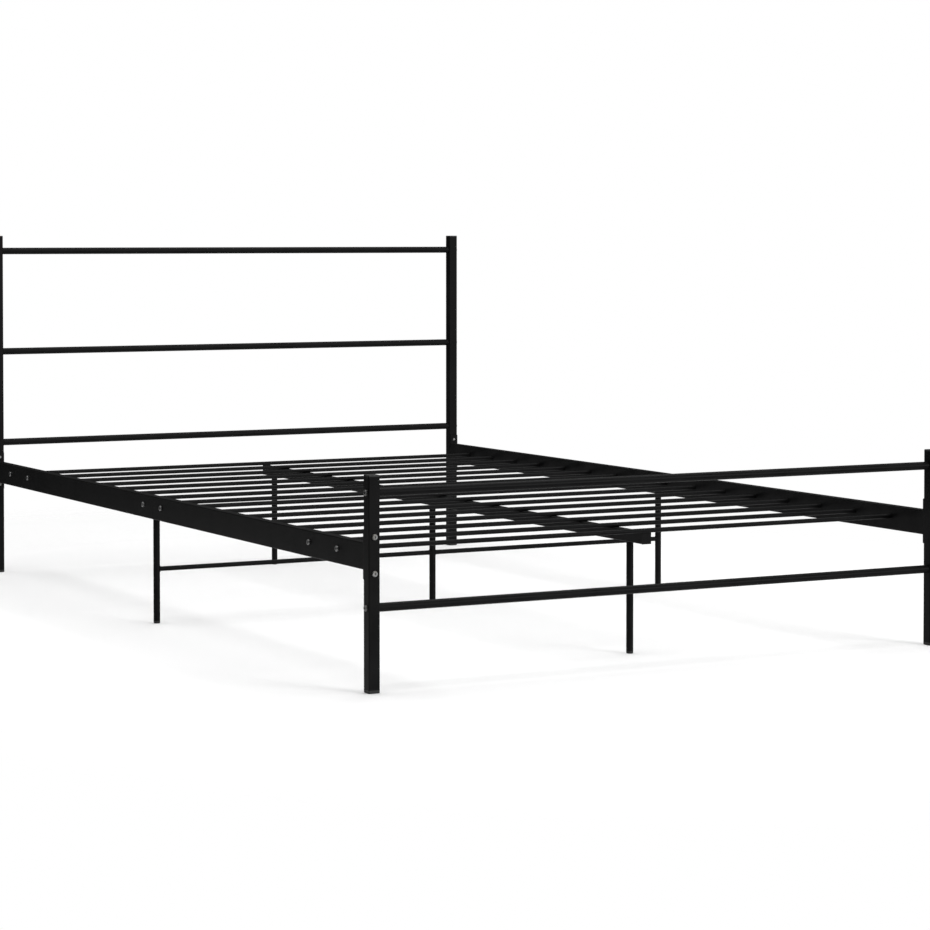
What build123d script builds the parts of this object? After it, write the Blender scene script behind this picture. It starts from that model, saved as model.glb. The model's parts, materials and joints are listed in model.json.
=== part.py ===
from build123d import *
import os

# A knock-down steel bed frame for a 120 x 200 cm mattress, in millimetres.
# +X is to the right as seen from the foot, +Y runs towards the head, +Z is up.
# The origin is on the floor, under the middle of the bed.

# ---------------------------------------------------------------- driving dimensions

BED_LENGTH = 2070
BED_WIDTH = 1270
HEAD_POST_HEIGHT = 818
FOOT_POST_HEIGHT = 392

POST_SIDE = 22
POST_WALL = 1.5
POST_CORNER = 1.5

PANEL_RAIL_DIAMETER = 16
PANEL_RAIL_WALL = 1.2
HEAD_RAIL_HEIGHTS = {"top": 781, "middle": 537, "lower": 316}
FOOT_RAIL_HEIGHTS = {"top": 360, "bottom": 153}

SUPPORT_UNDERSIDE = 220.5
SUPPORT_WIDTH = 20
SIDE_RAIL_DEPTH = 49
BEAM_DEPTH = 23
BOX_WALL = 1.5
BOX_CORNER = 2
HALF_GAP = 0.25

SLAT_DIAMETER = 9
SLAT_WALL = 1
SLAT_FIRST_Y = 49
SLAT_PITCH = 122
SLATS_PER_HALF = 8
SCREWED_SLATS = (0, 6, 7)

BEAM_X = 33
BEAM_END_Y = 898.5
LEG_FOOT_Y = -836
LEG_HEAD_Y = 850
LEG_DIAMETER = 14
LEG_WALL = 1.5
CROSSBAR_DIAMETER = 10
CROSSBAR_WALL = 1.2
CROSSBAR_HEIGHT = 115

RAIL_PLATE_THICKNESS = 4
RAIL_PLATE_BOTTOM = 203
RAIL_PLATE_TOP = 293
RAIL_PLATE_BOLT_HEIGHTS = (215, 281)
BEAM_PLATE_THICKNESS = 3

SPLICE_LENGTH = 120
SPLICE_DEPTH = 16
NUT_BAR_LENGTH = 40
NUT_BAR_DEPTH = 12

BOLT_DIAMETER = 6
BOLT_HOLE = 6.6
HEAD_DIAMETER = 11
HEAD_HEIGHT = 3.5
HEAD_ROUND = 1.6
SOCKET_FLATS = 4
SOCKET_DEPTH = 2
PANEL_BOLT_LENGTH = 36
SLAT_SCREW_DIAMETER = 4
SLAT_SCREW_HOLE = 4.6
SLAT_SCREW_LENGTH = 15
TUBE_PLUG_LENGTH = 16

FLUSH_HEAD_TAPER = 45
JOINT_SCREW_Y = 35
JOINT_SCREW_LENGTH = 15
STUD_DIAMETER = 8
STUD_HOLE = 8.6
STUD_DROP = 14

CAP_HEIGHT = 3
CAP_PLUG = 14
POST_FOOT_HEIGHT = 6
LEG_FOOT_HEIGHT = 5
FOOT_ROUND = 2

# ---------------------------------------------------------------- derived places

half_length = BED_LENGTH / 2
half_width = BED_WIDTH / 2
post_x = half_width - POST_SIDE / 2
post_y = half_length - POST_SIDE / 2
post_inner_x = half_width - POST_SIDE
post_inner_y = half_length - POST_SIDE

side_rail_outer_x = post_x + SUPPORT_WIDTH / 2
side_rail_end_y = post_inner_y - RAIL_PLATE_THICKNESS
side_rail_z = SUPPORT_UNDERSIDE + SIDE_RAIL_DEPTH / 2
beam_z = SUPPORT_UNDERSIDE + BEAM_DEPTH / 2
beam_plate_y = BEAM_END_Y - BEAM_PLATE_THICKNESS
slat_z = SUPPORT_UNDERSIDE + BEAM_DEPTH + SLAT_DIAMETER / 2
slat_end_x = side_rail_outer_x - BOX_WALL
slat_ys = [SLAT_FIRST_Y + SLAT_PITCH * i for i in range(SLATS_PER_HALF)]
screwed_slat_ys = [slat_ys[i] for i in SCREWED_SLATS]

box_floor = SUPPORT_UNDERSIDE + BOX_WALL
bar_width = SUPPORT_WIDTH - 2 * BOX_WALL
flush_head_depth = (HEAD_DIAMETER - BOLT_DIAMETER) / 2

sides = {"left": -1, "right": 1}
ends = {"foot": -1, "head": 1}
post_heights = {"foot": FOOT_POST_HEIGHT, "head": HEAD_POST_HEIGHT}
panel_rail_heights = {"foot": FOOT_RAIL_HEIGHTS, "head": HEAD_RAIL_HEIGHTS}

end_leg_ys = {"foot": LEG_FOOT_Y, "head": LEG_HEAD_Y}
leg_spots = {
    "mid_leg_left": (-post_x, 0),
    "mid_leg_centre": (BEAM_X, 0),
    "mid_leg_right": (post_x, 0),
    "centre_leg_foot": (BEAM_X, LEG_FOOT_Y),
    "centre_leg_head": (BEAM_X, LEG_HEAD_Y),
}
joint_screw_spots = [(x, end * JOINT_SCREW_Y) for x in (-post_x, BEAM_X, post_x) for end in ends.values()]


# ---------------------------------------------------------------- planes and small helpers

def level(height):
    """The horizontal plane at this height, facing up."""
    return Plane.XY.offset(height)


def across(x):
    """The upright plane at this X, facing +X: its own x is world Y and its own y is up."""
    return Plane(origin=(x, 0, 0), x_dir=(0, 1, 0), z_dir=(1, 0, 0))


def along(y):
    """The upright plane at this Y, facing the foot: its own x is world X and its own y is up."""
    return Plane(origin=(0, y, 0), x_dir=(1, 0, 0), z_dir=(0, -1, 0))


def toward(end, length):
    """How far to extrude from an `along` plane, to go this length towards that end of the bed."""
    return -ends[end] * length


def save(builder, name):
    """Label a finished piece and write its STEP file."""
    builder.part.label = name
    export_step(builder.part, f"parts/{name}.step")


def round_tube_x(start, end, y, height, diameter, wall):
    """A round tube that runs along X from start to end."""
    with BuildPart() as tube:
        with BuildSketch(across(start)):
            with Locations((y, height)):
                Circle(diameter / 2)
                Circle(diameter / 2 - wall, mode=Mode.SUBTRACT)
        extrude(amount=end - start)
    return tube


def button_screws(planes, diameter, length):
    """Separate button-head socket screws: each head stands on its plane's front."""
    with BuildPart() as screws:
        with BuildSketch(*planes):
            Circle(HEAD_DIAMETER / 2)
        extrude(amount=HEAD_HEIGHT)
        for plane in planes:
            crown = plane.origin + plane.z_dir * HEAD_HEIGHT
            rings = screws.edges().filter_by(GeomType.CIRCLE)
            fillet(rings.sort_by(lambda ring: (ring.arc_center - crown).length)[0], HEAD_ROUND)
        with BuildSketch(*[plane.offset(HEAD_HEIGHT) for plane in planes]):
            RegularPolygon(SOCKET_FLATS / 2, 6, major_radius=False)
        extrude(amount=-SOCKET_DEPTH, mode=Mode.SUBTRACT)
        with BuildSketch(*planes):
            Circle(diameter / 2)
        extrude(amount=-length)
    return screws


# ---------------------------------------------------------------- posts, caps and feet

def make_post(side, end):
    """A square post with the bolt holes for its panel rails and for its side rail."""
    x = sides[side] * post_x
    y = ends[end] * post_y
    with BuildPart() as post:
        with BuildSketch(Plane(origin=(x, y, POST_FOOT_HEIGHT))):
            RectangleRounded(POST_SIDE, POST_SIDE, POST_CORNER)
            Rectangle(POST_SIDE - 2 * POST_WALL, POST_SIDE - 2 * POST_WALL, mode=Mode.SUBTRACT)
        extrude(amount=post_heights[end] - CAP_HEIGHT - POST_FOOT_HEIGHT)
        with BuildSketch(across(x)):
            with Locations(*[(y, height) for height in panel_rail_heights[end].values()]):
                Circle(BOLT_HOLE / 2)
        extrude(amount=POST_SIDE, both=True, mode=Mode.SUBTRACT)
        with BuildSketch(along(y)):
            with Locations(*[(x, height) for height in RAIL_PLATE_BOLT_HEIGHTS]):
                Circle(BOLT_HOLE / 2)
        extrude(amount=POST_SIDE, both=True, mode=Mode.SUBTRACT)
    return post


def make_post_ends(planes, thickness, round_size, direction):
    """Square plastic ends for the posts: a rounded pad outside the tube and a hollow plug inside it."""
    plug_side = POST_SIDE - 2 * POST_WALL
    with BuildPart() as group:
        for plane in planes:
            with BuildSketch(plane):
                RectangleRounded(POST_SIDE, POST_SIDE, POST_CORNER)
            extrude(amount=direction * thickness)
            face_height = plane.origin.Z + direction * thickness
            rim = group.edges().filter_by_position(Axis.Z, face_height, face_height)
            near = rim.filter_by(lambda edge: abs(edge.center().X - plane.origin.X) < POST_SIDE)
            fillet(near.filter_by(lambda edge: abs(edge.center().Y - plane.origin.Y) < POST_SIDE), round_size)
            with BuildSketch(plane):
                Rectangle(plug_side, plug_side)
                Rectangle(plug_side - 2 * POST_WALL, plug_side - 2 * POST_WALL, mode=Mode.SUBTRACT)
            extrude(amount=-direction * CAP_PLUG)
    return group


# ---------------------------------------------------------------- side rails

def make_side_rail(side, end):
    """Half of a side rail: a box tube with slat seats, screw holes and a hole for the mid leg's stud."""
    x = sides[side] * post_x
    outward = sides[side] * SUPPORT_WIDTH
    with BuildPart() as rail:
        with BuildSketch(along(ends[end] * HALF_GAP)):
            with Locations((x, side_rail_z)):
                RectangleRounded(SUPPORT_WIDTH, SIDE_RAIL_DEPTH, BOX_CORNER)
                Rectangle(bar_width, SIDE_RAIL_DEPTH - 2 * BOX_WALL, mode=Mode.SUBTRACT)
        extrude(amount=toward(end, side_rail_end_y - HALF_GAP))
        with BuildSketch(across(x)):
            with Locations(*[(ends[end] * y, slat_z) for y in slat_ys]):
                Circle(SLAT_DIAMETER / 2)
        extrude(amount=-outward, mode=Mode.SUBTRACT)
        with BuildSketch(across(x)):
            with Locations(*[(ends[end] * y, slat_z) for y in screwed_slat_ys]):
                Circle(SLAT_SCREW_HOLE / 2)
        extrude(amount=outward, mode=Mode.SUBTRACT)
        with BuildSketch(level(SUPPORT_UNDERSIDE)):
            with Locations((x, 0)):
                Circle(STUD_HOLE / 2)
        extrude(amount=BOX_WALL, mode=Mode.SUBTRACT)
        with BuildSketch(level(SUPPORT_UNDERSIDE)):
            with Locations((x, ends[end] * JOINT_SCREW_Y)):
                Circle(HEAD_DIAMETER / 2)
        extrude(amount=flush_head_depth, taper=FLUSH_HEAD_TAPER, mode=Mode.SUBTRACT)
    return rail


def make_rail_plate(side, end):
    """The tapped plate that closes a side rail and takes the two post bolts."""
    x = sides[side] * post_x
    with BuildPart() as plate:
        with BuildSketch(along(ends[end] * side_rail_end_y)):
            with Locations((x, (RAIL_PLATE_BOTTOM + RAIL_PLATE_TOP) / 2)):
                RectangleRounded(SUPPORT_WIDTH, RAIL_PLATE_TOP - RAIL_PLATE_BOTTOM, BOX_CORNER)
            with Locations(*[(x, height) for height in RAIL_PLATE_BOLT_HEIGHTS]):
                Circle(BOLT_DIAMETER / 2, mode=Mode.SUBTRACT)
        extrude(amount=toward(end, RAIL_PLATE_THICKNESS))
    return plate


# ---------------------------------------------------------------- centre beam

def make_beam(end):
    """Half of the centre beam: a box tube under the slats, with holes for its screw and its legs' studs."""
    with BuildPart() as beam:
        with BuildSketch(along(ends[end] * HALF_GAP)):
            with Locations((BEAM_X, beam_z)):
                RectangleRounded(SUPPORT_WIDTH, BEAM_DEPTH, BOX_CORNER)
                Rectangle(bar_width, BEAM_DEPTH - 2 * BOX_WALL, mode=Mode.SUBTRACT)
        extrude(amount=toward(end, beam_plate_y - HALF_GAP))
        with BuildSketch(level(SUPPORT_UNDERSIDE)):
            with Locations((BEAM_X, 0), (BEAM_X, end_leg_ys[end])):
                Circle(STUD_HOLE / 2)
        extrude(amount=BOX_WALL, mode=Mode.SUBTRACT)
        with BuildSketch(level(SUPPORT_UNDERSIDE)):
            with Locations((BEAM_X, ends[end] * JOINT_SCREW_Y)):
                Circle(HEAD_DIAMETER / 2)
        extrude(amount=flush_head_depth, taper=FLUSH_HEAD_TAPER, mode=Mode.SUBTRACT)
    return beam


def make_beam_plate(end):
    """The plate that closes a beam end and reaches up to the side of the end slat."""
    with BuildPart() as plate:
        with BuildSketch(along(ends[end] * beam_plate_y)):
            with Locations((BEAM_X, (SUPPORT_UNDERSIDE + slat_z) / 2)):
                Rectangle(SUPPORT_WIDTH, slat_z - SUPPORT_UNDERSIDE)
        extrude(amount=toward(end, BEAM_PLATE_THICKNESS))
    return plate


def make_splice(x):
    """A tapped bar inside a mid joint: it holds a leg stud and takes a flush screw from each half."""
    with BuildPart() as splice:
        with BuildSketch(level(box_floor)):
            with Locations((x, 0)):
                Rectangle(bar_width, SPLICE_LENGTH)
                Circle(STUD_DIAMETER / 2, mode=Mode.SUBTRACT)
            with Locations((x, -JOINT_SCREW_Y), (x, JOINT_SCREW_Y)):
                Circle(BOLT_DIAMETER / 2, mode=Mode.SUBTRACT)
        extrude(amount=SPLICE_DEPTH)
        with BuildSketch(level(SUPPORT_UNDERSIDE)):
            with Locations((x, -JOINT_SCREW_Y), (x, JOINT_SCREW_Y)):
                Circle(HEAD_DIAMETER / 2)
        extrude(amount=flush_head_depth, taper=FLUSH_HEAD_TAPER, mode=Mode.SUBTRACT)
    return splice


# ---------------------------------------------------------------- legs

def make_leg(x, y):
    """A round leg from its plastic foot up to the underside of its rail or beam."""
    with BuildPart() as leg:
        with BuildSketch(Plane(origin=(x, y, LEG_FOOT_HEIGHT))):
            Circle(LEG_DIAMETER / 2)
            Circle(LEG_DIAMETER / 2 - LEG_WALL, mode=Mode.SUBTRACT)
        extrude(amount=SUPPORT_UNDERSIDE - LEG_FOOT_HEIGHT)
    return leg


def make_crossbar(start, end):
    """A round crossbar between two legs, its ends cut to the legs' round walls."""
    with BuildPart() as bar:
        with BuildSketch(across(start)):
            with Locations((0, CROSSBAR_HEIGHT)):
                Circle(CROSSBAR_DIAMETER / 2)
                Circle(CROSSBAR_DIAMETER / 2 - CROSSBAR_WALL, mode=Mode.SUBTRACT)
        extrude(amount=end - start)
        with BuildSketch(level(CROSSBAR_HEIGHT)):
            with Locations((start, 0), (end, 0)):
                Circle(LEG_DIAMETER / 2)
        extrude(amount=CROSSBAR_DIAMETER, both=True, mode=Mode.SUBTRACT)
    return bar


# ---------------------------------------------------------------- build and write the frame

os.makedirs("parts", exist_ok=True)

for end in ends:
    for side in sides:
        save(make_post(side, end), f"{end}_post_{side}")
        save(make_side_rail(side, end), f"side_rail_{side}_{end}")
        save(make_rail_plate(side, end), f"side_rail_end_plate_{side}_{end}")
    for rail_name, height in panel_rail_heights[end].items():
        panel_rail = round_tube_x(
            -post_inner_x, post_inner_x, ends[end] * post_y, height, PANEL_RAIL_DIAMETER, PANEL_RAIL_WALL
        )
        save(panel_rail, f"{end}_rail_{rail_name}")
    save(make_beam(end), f"centre_beam_{end}")
    save(make_beam_plate(end), f"centre_beam_end_plate_{end}")

all_slat_ys = sorted([-y for y in slat_ys] + slat_ys)
for number, y in enumerate(all_slat_ys, start=1):
    slat = round_tube_x(-slat_end_x, slat_end_x, y, slat_z, SLAT_DIAMETER, SLAT_WALL)
    save(slat, f"slat_{number:02d}")

for leg_name, (leg_x, leg_y) in leg_spots.items():
    save(make_leg(leg_x, leg_y), leg_name)
save(make_crossbar(-post_x, BEAM_X), "mid_crossbar_left")
save(make_crossbar(BEAM_X, post_x), "mid_crossbar_right")

save(make_splice(-post_x), "side_rail_splice_left")
save(make_splice(BEAM_X), "centre_beam_splice")
save(make_splice(post_x), "side_rail_splice_right")

# ---------------------------------------------------------------- plastic caps and feet

post_corners = [(side, end) for side in sides for end in ends]
cap_planes = [
    Plane(origin=(sides[side] * post_x, ends[end] * post_y, post_heights[end] - CAP_HEIGHT))
    for side, end in post_corners
]
foot_planes = [
    Plane(origin=(sides[side] * post_x, ends[end] * post_y, POST_FOOT_HEIGHT)) for side, end in post_corners
]
save(make_post_ends(cap_planes, CAP_HEIGHT, POST_CORNER, 1), "post_top_caps")
save(make_post_ends(foot_planes, POST_FOOT_HEIGHT, FOOT_ROUND, -1), "post_feet")

with BuildPart() as leg_feet:
    with BuildSketch(level(0)):
        with Locations(*leg_spots.values()):
            Circle(LEG_DIAMETER / 2)
    extrude(amount=LEG_FOOT_HEIGHT)
    fillet(leg_feet.edges().group_by(Axis.Z)[0], FOOT_ROUND)
    with BuildSketch(level(LEG_FOOT_HEIGHT)):
        with Locations(*leg_spots.values()):
            Circle(LEG_DIAMETER / 2 - LEG_WALL)
    extrude(amount=CAP_PLUG)
save(leg_feet, "leg_feet")

# ---------------------------------------------------------------- how the legs are held

with BuildPart() as centre_beam_nut_bars:
    with BuildSketch(level(box_floor)):
        with Locations(*[(BEAM_X, y) for y in end_leg_ys.values()]):
            Rectangle(bar_width, NUT_BAR_LENGTH)
            Circle(STUD_DIAMETER / 2, mode=Mode.SUBTRACT)
    extrude(amount=NUT_BAR_DEPTH)
save(centre_beam_nut_bars, "centre_beam_nut_bars")

with BuildPart() as leg_studs:
    with BuildSketch(level(SUPPORT_UNDERSIDE - STUD_DROP)):
        with Locations(*leg_spots.values()):
            Circle(STUD_DIAMETER / 2)
    extrude(amount=STUD_DROP + BOX_WALL + NUT_BAR_DEPTH)
save(leg_studs, "leg_studs")

with BuildPart() as leg_plugs:
    with BuildSketch(level(SUPPORT_UNDERSIDE)):
        with Locations(*leg_spots.values()):
            Circle(LEG_DIAMETER / 2 - LEG_WALL)
            Circle(STUD_DIAMETER / 2, mode=Mode.SUBTRACT)
    extrude(amount=-TUBE_PLUG_LENGTH)
save(leg_plugs, "leg_plugs")

with BuildPart() as joint_screws:
    with BuildSketch(level(SUPPORT_UNDERSIDE)):
        with Locations(*joint_screw_spots):
            Circle(BOLT_DIAMETER / 2)
    extrude(amount=JOINT_SCREW_LENGTH)
    with BuildSketch(level(SUPPORT_UNDERSIDE)):
        with Locations(*joint_screw_spots):
            Circle(HEAD_DIAMETER / 2)
    extrude(amount=flush_head_depth, taper=FLUSH_HEAD_TAPER)
    with BuildSketch(level(SUPPORT_UNDERSIDE)):
        with Locations(*joint_screw_spots):
            RegularPolygon(SOCKET_FLATS / 2, 6, major_radius=False)
    extrude(amount=SOCKET_DEPTH, mode=Mode.SUBTRACT)
save(joint_screws, "joint_screws")

# ---------------------------------------------------------------- bolts, screws and threaded plugs

panel_bolt_planes = [
    Plane(origin=(side * half_width, ends[end] * post_y, height), x_dir=(0, 1, 0), z_dir=(side, 0, 0))
    for end in ends
    for height in panel_rail_heights[end].values()
    for side in sides.values()
]
save(button_screws(panel_bolt_planes, BOLT_DIAMETER, PANEL_BOLT_LENGTH), "panel_bolts")

side_rail_bolt_planes = [
    Plane(origin=(side * post_x, end * half_length, height), x_dir=(1, 0, 0), z_dir=(0, end, 0))
    for end in ends.values()
    for side in sides.values()
    for height in RAIL_PLATE_BOLT_HEIGHTS
]
side_rail_bolt_length = POST_SIDE + RAIL_PLATE_THICKNESS
save(button_screws(side_rail_bolt_planes, BOLT_DIAMETER, side_rail_bolt_length), "side_rail_bolts")

slat_screw_planes = [
    Plane(origin=(side * side_rail_outer_x, end * y, slat_z), x_dir=(0, 1, 0), z_dir=(side, 0, 0))
    for side in sides.values()
    for end in ends.values()
    for y in screwed_slat_ys
]
save(button_screws(slat_screw_planes, SLAT_SCREW_DIAMETER, SLAT_SCREW_LENGTH), "slat_screws")

with BuildPart() as rail_inserts:
    with BuildSketch(*[plane.offset(-POST_SIDE) for plane in panel_bolt_planes]):
        Circle(PANEL_RAIL_DIAMETER / 2 - PANEL_RAIL_WALL)
        Circle(BOLT_DIAMETER / 2, mode=Mode.SUBTRACT)
    extrude(amount=-TUBE_PLUG_LENGTH)
save(rail_inserts, "rail_inserts")

with BuildPart() as slat_inserts:
    with BuildSketch(*[plane.offset(-BOX_WALL) for plane in slat_screw_planes]):
        Circle(SLAT_DIAMETER / 2 - SLAT_WALL)
        Circle(SLAT_SCREW_DIAMETER / 2, mode=Mode.SUBTRACT)
    extrude(amount=-TUBE_PLUG_LENGTH)
save(slat_inserts, "slat_inserts")
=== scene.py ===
import json
import math

import bmesh
import bpy
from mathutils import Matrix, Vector


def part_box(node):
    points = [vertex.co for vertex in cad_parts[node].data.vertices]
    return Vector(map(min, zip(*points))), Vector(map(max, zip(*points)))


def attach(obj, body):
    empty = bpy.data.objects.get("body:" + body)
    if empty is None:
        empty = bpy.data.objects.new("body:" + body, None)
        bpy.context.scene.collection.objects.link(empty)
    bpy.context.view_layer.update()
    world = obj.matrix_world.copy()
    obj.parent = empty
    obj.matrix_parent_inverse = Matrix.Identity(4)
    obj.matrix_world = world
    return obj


# A black powder-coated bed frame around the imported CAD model. Everything is in metres.
# +X is to the right as seen from the foot of the bed, +Y runs towards the head, +Z is up.

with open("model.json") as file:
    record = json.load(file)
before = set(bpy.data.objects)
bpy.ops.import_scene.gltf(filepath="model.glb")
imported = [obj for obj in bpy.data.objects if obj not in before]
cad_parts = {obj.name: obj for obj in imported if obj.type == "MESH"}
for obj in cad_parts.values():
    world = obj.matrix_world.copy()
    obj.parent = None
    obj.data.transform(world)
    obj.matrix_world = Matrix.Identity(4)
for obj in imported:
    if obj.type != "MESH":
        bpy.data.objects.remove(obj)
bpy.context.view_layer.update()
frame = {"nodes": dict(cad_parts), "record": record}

MM = 0.001
scene = bpy.context.scene

SLOT_OF_NODE = {entry["node"]: entry["material_slot"] for entry in frame["record"]["subparts"]}


# ---------------------------------------------------------------- camera, lights and floor

CAMERA_PLACE = (-2.8412, -5.5077, 0.8212)
CAMERA_TURN = math.radians(-28.225)
CAMERA_DIP = math.radians(1.671)
CAMERA_LENS = 108.48
CAMERA_SHIFT = -0.16
BACKDROP_GLOW = 1.0
ROOM_GLOW = 0.08
OVERHEAD_PLACE = (0.3, 0.0, 5.0)
OVERHEAD_TARGET = (0, 0, 0)
OVERHEAD_SIZE = 7.0
OVERHEAD_POWER = 440
FRONT_PLACE = (3.2, -7.0, 1.8)
FRONT_TARGET = (0, 0, 0.3)
FRONT_SIZE = 2.5
FRONT_POWER = 300
FLOOR_SPAN = (1.7, 2.5)
FLOOR_FADE = 0.6
FLOOR_SIDES = 96
FLOOR_GREY = 0.9
FLOOR_ROUGHNESS = 0.9


def make_camera():
    """A long-lens camera off the foot-left corner, nearly level, with a shift to keep uprights upright."""
    data = bpy.data.cameras.new("camera")
    data.lens = CAMERA_LENS
    data.shift_y = CAMERA_SHIFT
    camera = bpy.data.objects.new("camera", data)
    camera.location = CAMERA_PLACE
    camera.rotation_euler = (math.pi / 2 - CAMERA_DIP, 0, CAMERA_TURN)
    scene.collection.objects.link(camera)
    scene.camera = camera


def soft_light(name, place, target, size, power):
    """A large square softbox at place, facing target."""
    data = bpy.data.lights.new(name, "AREA")
    data.size = size
    data.energy = power
    light = bpy.data.objects.new(name, data)
    light.location = place
    light.rotation_euler = (Vector(target) - Vector(place)).to_track_quat("-Z", "Y").to_euler()
    scene.collection.objects.link(light)


def make_studio():
    """A white surround that lights the bed only dimly, a pale floor and two softboxes."""
    world = bpy.data.worlds.new("studio")
    world.use_nodes = True
    scene.world = world
    nodes, links = world.node_tree.nodes, world.node_tree.links
    seen = nodes.new("ShaderNodeLightPath").outputs["Is Camera Ray"]
    strength = nodes.new("ShaderNodeMapRange")
    strength.inputs["To Min"].default_value = ROOM_GLOW
    strength.inputs["To Max"].default_value = BACKDROP_GLOW
    links.new(seen, strength.inputs["Value"])
    nodes["Background"].inputs["Color"].default_value = (1, 1, 1, 1)
    links.new(strength.outputs["Result"], nodes["Background"].inputs["Strength"])

    soft_light("overhead_softbox", OVERHEAD_PLACE, OVERHEAD_TARGET, OVERHEAD_SIZE, OVERHEAD_POWER)
    soft_light("front_softbox", FRONT_PLACE, FRONT_TARGET, FRONT_SIZE, FRONT_POWER)

    mesh = bpy.data.meshes.new("floor")
    turns = [2 * math.pi * i / FLOOR_SIDES for i in range(FLOOR_SIDES)]
    rim = [(FLOOR_SPAN[0] * math.cos(turn), FLOOR_SPAN[1] * math.sin(turn), 0) for turn in turns]
    mesh.from_pydata(rim, [], [range(FLOOR_SIDES)])
    floor = bpy.data.objects.new("floor", mesh)
    scene.collection.objects.link(floor)
    floor.data.materials.append(floor_material())
    scene.view_settings.view_transform = "Standard"


def floor_material():
    """Pale matt floor paint that thins out into the white surround."""
    graph = Graph("studio_floor")
    shares = (1 / FLOOR_SPAN[0], 1 / FLOOR_SPAN[1], 0)
    inputs = {0: graph.place, 1: shares}
    scaled = graph.node("ShaderNodeVectorMath", inputs, operation="MULTIPLY").outputs["Vector"]
    distance = graph.node("ShaderNodeVectorMath", {0: scaled}, operation="LENGTH").outputs["Value"]
    solid = graph.spread(distance, (FLOOR_FADE, 1.0), (1.0, 0.0))
    return graph.finish(
        Base_Color=grey(FLOOR_GREY), Roughness=FLOOR_ROUGHNESS, Specular_IOR_Level=0.0, Alpha=solid
    )


# ---------------------------------------------------------------- materials

# A band is the part of a noise's range from 0 to 1 that is laid out over a colour or a roughness.
CLOUD_BAND = (0.35, 0.65)
SOFT_BAND = (0.3, 0.7)
BEVEL_SAMPLES = 4
EDGE_DOTS = (0.995, 0.86)

COAT_PATCH_SIZE = 50 * MM
COAT_WEAR_SIZE = 6 * MM
COAT_WEAR_BAND = (0.45, 0.7)
COAT_WEAR_SHARE = 0.7
COAT_EDGE_RADIUS = 0.8 * MM
COAT_GREYS = (0.0035, 0.007)
COAT_TINTS = (1.04, 1.02)
COAT_WORN_GREY = 0.06
COAT_ROUGHNESS = (0.38, 0.52)
COAT_SPECULAR = 0.05
COAT_PEEL_SIZE = 2.6 * MM
COAT_PEEL_DEPTH = 0.16 * MM
COAT_SAND_SIZE = 0.55 * MM
COAT_SAND_DEPTH = 0.07 * MM

PLASTIC_PATCH_SIZE = 20 * MM
PLASTIC_GREYS = (0.010, 0.016)
PLASTIC_ROUGHNESS = (0.5, 0.62)
PLASTIC_SPECULAR = 0.3
PLASTIC_GRAIN_SIZE = 0.35 * MM
PLASTIC_GRAIN_DEPTH = 0.03 * MM

PLATE_MARK_SIZE = 0.3 * MM
ZINC_STAIN_SIZE = 4 * MM
ZINC_STAIN_BAND = (0.35, 0.7)
ZINC_CLEAN = (0.22, 0.224, 0.228, 1)
ZINC_STAINED = (0.17, 0.163, 0.15, 1)
ZINC_ROUGHNESS = (0.46, 0.6)
ZINC_MARK_DEPTH = 0.01 * MM
DARK_CLOUD_SIZE = 3 * MM
DARK_RUB_SIZE = 2 * MM
DARK_RUB_BAND = (0.4, 0.7)
DARK_EDGE_RADIUS = 0.5 * MM
DARK_GREYS = (0.20, 0.28)
DARK_RUBBED_GREY = 0.42
DARK_ROUGHNESS = (0.34, 0.48)
DARK_MARK_DEPTH = 0.012 * MM

STEEL_STRETCH = (1, 0.02, 1)
STEEL_BRUSH_SIZE = 0.5 * MM
STEEL_DARK = (0.36, 0.36, 0.37, 1)
STEEL_BRIGHT = (0.46, 0.46, 0.47, 1)
STEEL_ROUGHNESS = (0.3, 0.45)
STEEL_BRUSH_DEPTH = 0.01 * MM


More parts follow.
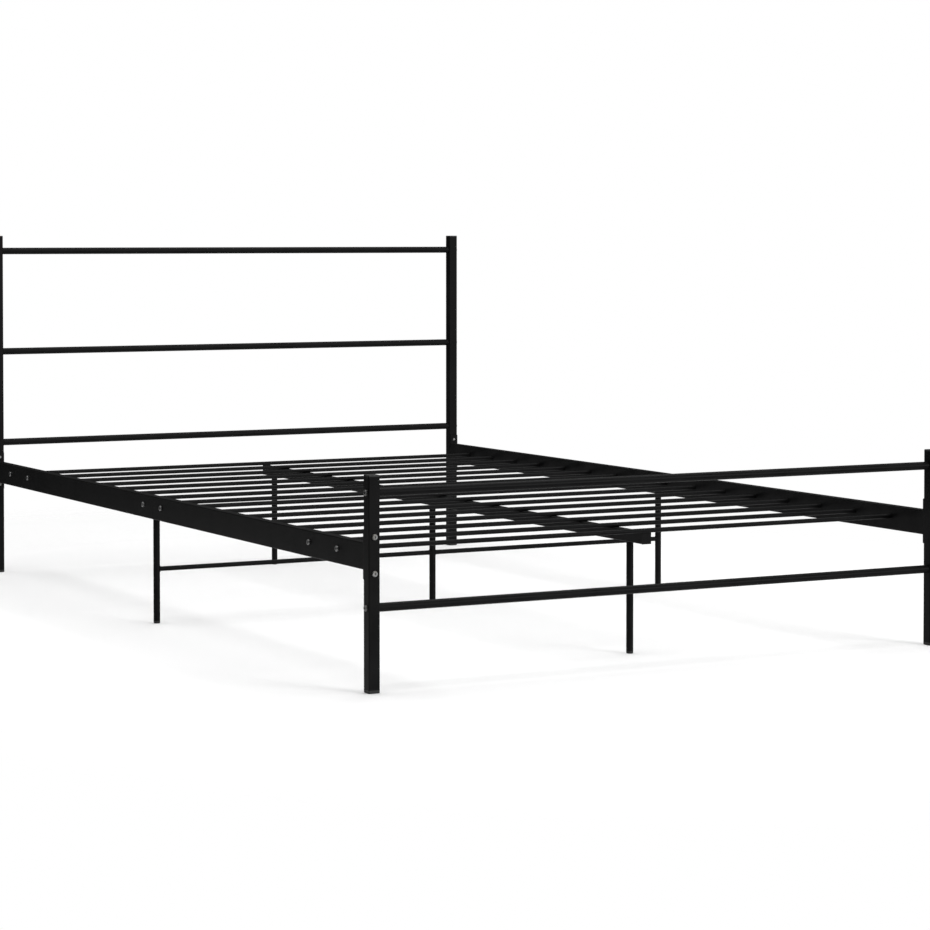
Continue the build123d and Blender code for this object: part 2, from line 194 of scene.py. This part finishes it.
class Graph:
    """A short way to write a material's nodes."""

    def __init__(self, name):
        self.material = bpy.data.materials.new(name)
        self.material.use_nodes = True
        self.tree = self.material.node_tree
        self.shader = self.tree.nodes["Principled BSDF"]
        self.place = self.tree.nodes.new("ShaderNodeTexCoord").outputs["Object"]

    def node(self, kind, inputs=None, **settings):
        made = self.tree.nodes.new(kind)
        for name, value in settings.items():
            setattr(made, name, value)
        for name, value in (inputs or {}).items():
            self.feed(made.inputs[name], value)
        return made

    def feed(self, socket, value):
        if isinstance(value, bpy.types.NodeSocket):
            self.tree.links.new(value, socket)
        else:
            socket.default_value = value

    def noise(self, size, detail, roughness=0.5, place=None):
        """Noise with features about this size in metres, from 0 to 1."""
        inputs = {"Vector": place or self.place, "Scale": 1 / size, "Detail": detail, "Roughness": roughness}
        return self.node("ShaderNodeTexNoise", inputs).outputs["Fac"]

    def spread(self, value, band, to=(0.0, 1.0)):
        """The band of the value's range, laid out from the first of these numbers to the second."""
        inputs = {"Value": value, "From Min": band[0], "From Max": band[1], "To Min": to[0], "To Max": to[1]}
        return self.node("ShaderNodeMapRange", inputs).outputs["Result"]

    def times(self, first, second):
        made = self.node("ShaderNodeMath", operation="MULTIPLY")
        self.feed(made.inputs[0], first)
        self.feed(made.inputs[1], second)
        return made.outputs[0]

    def blend(self, amount, first, second):
        """A colour from first to second."""
        made = self.node("ShaderNodeMix", data_type="RGBA")
        self.feed(made.inputs["Factor"], amount)
        self.feed(made.inputs["A"], first)
        self.feed(made.inputs["B"], second)
        return made.outputs["Result"]

    def edges(self, radius):
        """1 on outside and inside edges that are sharper than this radius, 0 on flat stretches."""
        soft = self.node("ShaderNodeBevel", {"Radius": radius}, samples=BEVEL_SAMPLES).outputs["Normal"]
        true = self.node("ShaderNodeNewGeometry").outputs["Normal"]
        dot = self.node("ShaderNodeVectorMath", {0: soft, 1: true}, operation="DOT_PRODUCT").outputs["Value"]
        return self.spread(dot, EDGE_DOTS)

    def bump(self, height, distance, normal=None):
        inputs = {"Height": height, "Distance": distance, "Strength": 1.0}
        made = self.node("ShaderNodeBump", inputs)
        if normal is not None:
            self.feed(made.inputs["Normal"], normal)
        return made.outputs["Normal"]

    def finish(self, **sockets):
        for name, value in sockets.items():
            self.feed(self.shader.inputs[name.replace("_", " ")], value)
        return self.material


def grey(value, tint=1.0):
    return (value, value, value * tint, 1)


def powder_coat():
    """Black polyester powder coat: fine sandy texture over a soft orange peel, thin at the edges."""
    graph = Graph("black_powder_coat")
    patches = graph.noise(COAT_PATCH_SIZE, 3)
    wear = graph.spread(graph.noise(COAT_WEAR_SIZE, 4), COAT_WEAR_BAND)
    rubbed = graph.times(graph.edges(COAT_EDGE_RADIUS), wear)
    dark, light = (grey(value, tint) for value, tint in zip(COAT_GREYS, COAT_TINTS))
    body = graph.blend(graph.spread(patches, CLOUD_BAND), dark, light)
    peel = graph.bump(graph.noise(COAT_PEEL_SIZE, 1), COAT_PEEL_DEPTH)
    return graph.finish(
        Base_Color=graph.blend(graph.times(rubbed, COAT_WEAR_SHARE), body, grey(COAT_WORN_GREY)),
        Roughness=graph.spread(patches, SOFT_BAND, COAT_ROUGHNESS),
        Specular_IOR_Level=COAT_SPECULAR,
        Normal=graph.bump(graph.noise(COAT_SAND_SIZE, 2, 0.6), COAT_SAND_DEPTH, peel),
    )


def black_plastic():
    """Black injection-moulded nylon with a spark-eroded grain."""
    graph = Graph("black_plastic")
    patches = graph.noise(PLASTIC_PATCH_SIZE, 2)
    dark, light = (grey(value) for value in PLASTIC_GREYS)
    return graph.finish(
        Base_Color=graph.blend(patches, dark, light),
        Roughness=graph.spread(patches, SOFT_BAND, PLASTIC_ROUGHNESS),
        Specular_IOR_Level=PLASTIC_SPECULAR,
        Normal=graph.bump(graph.noise(PLASTIC_GRAIN_SIZE, 3, 0.7), PLASTIC_GRAIN_DEPTH),
    )


def zinc():
    """Dulled zinc plate with faint passivation stains and tumbling marks."""
    graph = Graph("zinc_fasteners")
    stains = graph.noise(ZINC_STAIN_SIZE, 3)
    return graph.finish(
        Base_Color=graph.blend(graph.spread(stains, ZINC_STAIN_BAND), ZINC_CLEAN, ZINC_STAINED),
        Metallic=1.0,
        Roughness=graph.spread(stains, SOFT_BAND, ZINC_ROUGHNESS),
        Normal=graph.bump(graph.noise(PLATE_MARK_SIZE, 3, 0.6), ZINC_MARK_DEPTH),
    )


def dark_zinc():
    """Dull dark zinc plate, cloudy and a little lighter where the heads are rubbed."""
    graph = Graph("dark_zinc_screws")
    clouds = graph.noise(DARK_CLOUD_SIZE, 3)
    wear = graph.spread(graph.noise(DARK_RUB_SIZE, 3), DARK_RUB_BAND)
    rubbed = graph.times(graph.edges(DARK_EDGE_RADIUS), wear)
    dark, light = (grey(value) for value in DARK_GREYS)
    plate = graph.blend(graph.spread(clouds, CLOUD_BAND), dark, light)
    return graph.finish(
        Base_Color=graph.blend(rubbed, plate, grey(DARK_RUBBED_GREY)),
        Metallic=1.0,
        Roughness=graph.spread(clouds, SOFT_BAND, DARK_ROUGHNESS),
        Normal=graph.bump(graph.noise(PLATE_MARK_SIZE, 3, 0.6), DARK_MARK_DEPTH),
    )


def bare_steel():
    """Oiled bar stock, brushed along the bed."""
    graph = Graph("bare_steel")
    mapping = graph.node("ShaderNodeMapping", {"Vector": graph.place, "Scale": STEEL_STRETCH})
    brushed = graph.noise(STEEL_BRUSH_SIZE, 4, 0.6, mapping.outputs["Vector"])
    return graph.finish(
        Base_Color=graph.blend(brushed, STEEL_DARK, STEEL_BRIGHT),
        Metallic=1.0,
        Roughness=graph.spread(brushed, SOFT_BAND, STEEL_ROUGHNESS),
        Normal=graph.bump(brushed, STEEL_BRUSH_DEPTH),
    )


MATERIALS = {
    "black_powder_coat": powder_coat(),
    "black_plastic": black_plastic(),
    "zinc_fasteners": zinc(),
    "dark_zinc_screws": dark_zinc(),
    "bare_steel": bare_steel(),
}

for node_name, node_object in frame["nodes"].items():
    finish_material = MATERIALS[SLOT_OF_NODE[node_name]]
    for material_slot in node_object.material_slots:
        material_slot.material = finish_material
    if not node_object.material_slots:
        node_object.data.materials.append(finish_material)


# ---------------------------------------------------------------- weld beads

BEAD_RADIUS = 1.5 * MM
BEAD_SIDES = 10
BEAD_STEP = 0.3 * MM
RIPPLE_PITCH = 1.5 * MM
RIPPLE_SHARE = 0.16
BEAD_INSET = 1.0 * MM
BEAD_TIP_LEAST = 0.01


class Bead:
    """A weld bead's line: the points it runs through and the way out of the corner at each of them."""

    def __init__(self, points, outward, closed):
        self.points = points
        self.outward = outward
        self.closed = closed
        ends = points + points[:1] if closed else points
        self.length = sum((b - a).length for a, b in zip(ends, ends[1:]))

    def radius(self, index):
        """The bead's half width at a point: rippled like overlapping drops, and rounded off at open ends."""
        place = self.length * index / (len(self.points) - (0 if self.closed else 1))
        ripples = max(1, round(self.length / RIPPLE_PITCH))
        swell = abs(math.sin(math.pi * ripples * place / self.length))
        radius = BEAD_RADIUS * (1 - RIPPLE_SHARE + RIPPLE_SHARE * swell)
        if self.closed:
            return radius
        to_end = min(place, self.length - place, BEAD_RADIUS) / BEAD_RADIUS
        return radius * math.sqrt(max(1 - (1 - to_end) ** 2, BEAD_TIP_LEAST))


def ring_bead(leg_box, bar_box, side):
    """Where a crossbar meets a leg's round wall: the line in which the two cylinders cross."""
    leg_middle = (leg_box[0] + leg_box[1]) / 2
    leg_radius = (leg_box[1].x - leg_box[0].x) / 2
    bar_radius = (bar_box[1].z - bar_box[0].z) / 2
    bar_height = (bar_box[1].z + bar_box[0].z) / 2
    count = round(2 * math.pi * bar_radius / BEAD_STEP)
    turns = [2 * math.pi * i / count for i in range(count)]
    outward = [Vector((0, math.cos(turn), math.sin(turn))) for turn in turns]
    points = []
    for way in outward:
        reach = math.sqrt(leg_radius ** 2 - (bar_radius * way.y) ** 2)
        y, z = leg_middle.y + bar_radius * way.y, bar_height + bar_radius * way.z
        points.append(Vector((leg_middle.x + side * reach, y, z)))
    return Bead(points, outward, True)


def straight_bead(low_x, high_x, y, z, way):
    """A bead along X in a corner at this Y and Z."""
    start, end = low_x + BEAD_INSET, high_x - BEAD_INSET
    count = round((end - start) / BEAD_STEP)
    points = [Vector((start + (end - start) * i / count, y, z)) for i in range(count + 1)]
    return Bead(points, [Vector(way).normalized()] * len(points), False)


def add_bead(mesh, bead):
    """Sweep a bead's round section along its line."""
    count = len(bead.points)
    rings = []
    for index, (point, way) in enumerate(zip(bead.points, bead.outward)):
        before = bead.points[index - 1 if bead.closed else max(index - 1, 0)]
        after = bead.points[(index + 1) % count if bead.closed else min(index + 1, count - 1)]
        across = (after - before).cross(way).normalized()
        ring = []
        for side in range(BEAD_SIDES):
            turn = 2 * math.pi * side / BEAD_SIDES
            offset = way * math.cos(turn) + across * math.sin(turn)
            ring.append(mesh.verts.new(point + offset * bead.radius(index)))
        rings.append(ring)
    pairs = list(zip(rings, rings[1:]))
    if bead.closed:
        pairs.append((rings[-1], rings[0]))
    for ring, following in pairs:
        for side in range(BEAD_SIDES):
            other = (side + 1) % BEAD_SIDES
            mesh.faces.new((ring[side], ring[other], following[other], following[side]))
    if not bead.closed:
        mesh.faces.new(rings[0])
        mesh.faces.new(reversed(rings[-1]))


def make_welds(name, beads):
    """One piece that holds all the beads of one kind, under the same powder coat as the steel."""
    mesh = bmesh.new()
    for bead in beads:
        add_bead(mesh, bead)
    bmesh.ops.recalc_face_normals(mesh, faces=mesh.faces)
    for face in mesh.faces:
        face.smooth = True
    data = bpy.data.meshes.new(name)
    mesh.to_mesh(data)
    mesh.free()
    data.materials.append(MATERIALS["black_powder_coat"])
    piece = bpy.data.objects.new(name, data)
    scene.collection.objects.link(piece)
    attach(piece, "root")


def box(node):
    low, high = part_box(node)
    return Vector(low), Vector(high)


def crossbar_beads():
    """A ring at both ends of both crossbars."""
    for bar, left_leg, right_leg in (
        ("mid_crossbar_left", "mid_leg_left", "mid_leg_centre"),
        ("mid_crossbar_right", "mid_leg_centre", "mid_leg_right"),
    ):
        yield ring_bead(box(left_leg), box(bar), 1)
        yield ring_bead(box(right_leg), box(bar), -1)


def rail_plate_beads():
    """Above and below each side rail, where it meets its end plate."""
    for side in ("left", "right"):
        for end, way in (("foot", 1), ("head", -1)):
            low, high = box(f"side_rail_{side}_{end}")
            y = low.y if end == "foot" else high.y
            yield straight_bead(low.x, high.x, y, high.z, (0, way, 1))
            yield straight_bead(low.x, high.x, y, low.z, (0, way, -1))


def beam_plate_beads():
    """On top of each beam end, where it meets its plate, and where the plate meets the end slat."""
    for end, way in (("foot", 1), ("head", -1)):
        beam_low, beam_high = box(f"centre_beam_{end}")
        plate_low, plate_high = box(f"centre_beam_end_plate_{end}")
        beam_y, slat_y = (beam_low.y, plate_low.y) if end == "foot" else (beam_high.y, plate_high.y)
        yield straight_bead(beam_low.x, beam_high.x, beam_y, beam_high.z, (0, way, 1))
        yield straight_bead(plate_low.x, plate_high.x, slat_y, plate_high.z, (0, way, 1))


make_camera()
make_studio()
make_welds("crossbar_welds", crossbar_beads())
make_welds("rail_plate_welds", rail_plate_beads())
make_welds("beam_plate_welds", beam_plate_beads())
